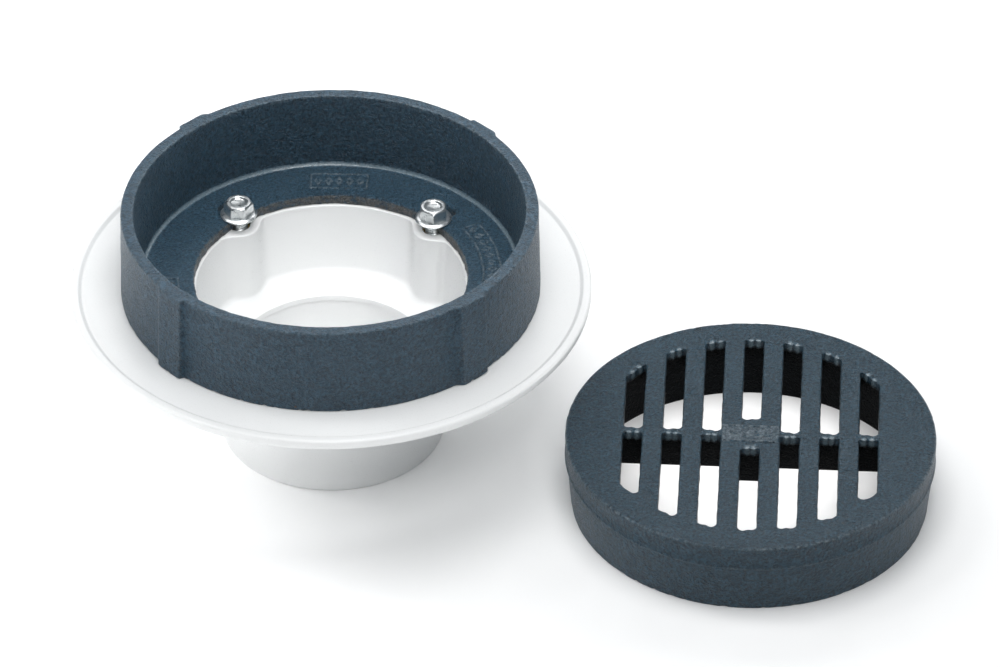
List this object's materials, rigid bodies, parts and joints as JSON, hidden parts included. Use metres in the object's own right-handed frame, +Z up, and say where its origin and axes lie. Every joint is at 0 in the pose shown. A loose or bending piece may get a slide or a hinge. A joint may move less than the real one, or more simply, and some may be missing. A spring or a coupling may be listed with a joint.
{
  "type": "floor drain",
  "caption": "Heavy-duty floor drain: round plastic body with a wide deck flange and outlet hub, bolted cast-iron clamping ring, and loose slotted cast-iron grate.",
  "frame": {"origin": "on the drain's axis at the mouth of the outlet socket, which is the plane the drain and the grate stand on", "axes": "+Z up along the drain's axis; +X towards the loose grate; +Y towards the back, away from the viewer"},
  "size_m": [0.4719, 0.3095, 0.1461],
  "materials": {
    "pvc": "satin moulded white PVC",
    "ring_iron": "rough casting with a dark blue-grey dipped coating, semi-gloss",
    "grate_iron": "rough casting with a dark blue-grey dipped coating, semi-gloss",
    "zinc_steel": "bright zinc plated",
    "brass": "turned"
  },
  "bodies": {
    "drain": {"drain_body": "pvc", "insert_back_left": "brass", "insert_back_right": "brass", "insert_front_left": "brass", "insert_front_right": "brass"},
    "ring": {"clamp_ring": "ring_iron"},
    "loose_grate": {"grate": "grate_iron"},
    "bolt_back_left": {"bolt_back_left": "zinc_steel"},
    "bolt_back_right": {"bolt_back_right": "zinc_steel"},
    "bolt_front_left": {"bolt_front_left": "zinc_steel"},
    "bolt_front_right": {"bolt_front_right": "zinc_steel"}
  },
  "joints": [
    {"name": "ring_lift", "type": "slide", "parent": "drain", "child": "ring", "axis": [0, 0, 1], "range_m": [0, 0.08]},
    {"name": "grate_lift", "type": "slide", "parent": "drain", "child": "loose_grate", "axis": [0.2007, -0.0541, 0.9782], "range_m": [0, 0.16]},
    {"name": "unscrew_back_left", "type": "slide", "parent": "ring", "child": "bolt_back_left", "axis": [0, 0, 1], "range_m": [0, 0.024]},
    {"name": "unscrew_back_right", "type": "slide", "parent": "ring", "child": "bolt_back_right", "axis": [0, 0, 1], "range_m": [0, 0.024]},
    {"name": "unscrew_front_left", "type": "slide", "parent": "ring", "child": "bolt_front_left", "axis": [0, 0, 1], "range_m": [0, 0.024]},
    {"name": "unscrew_front_right", "type": "slide", "parent": "ring", "child": "bolt_front_right", "axis": [0, 0, 1], "range_m": [0, 0.024]}
  ]
}
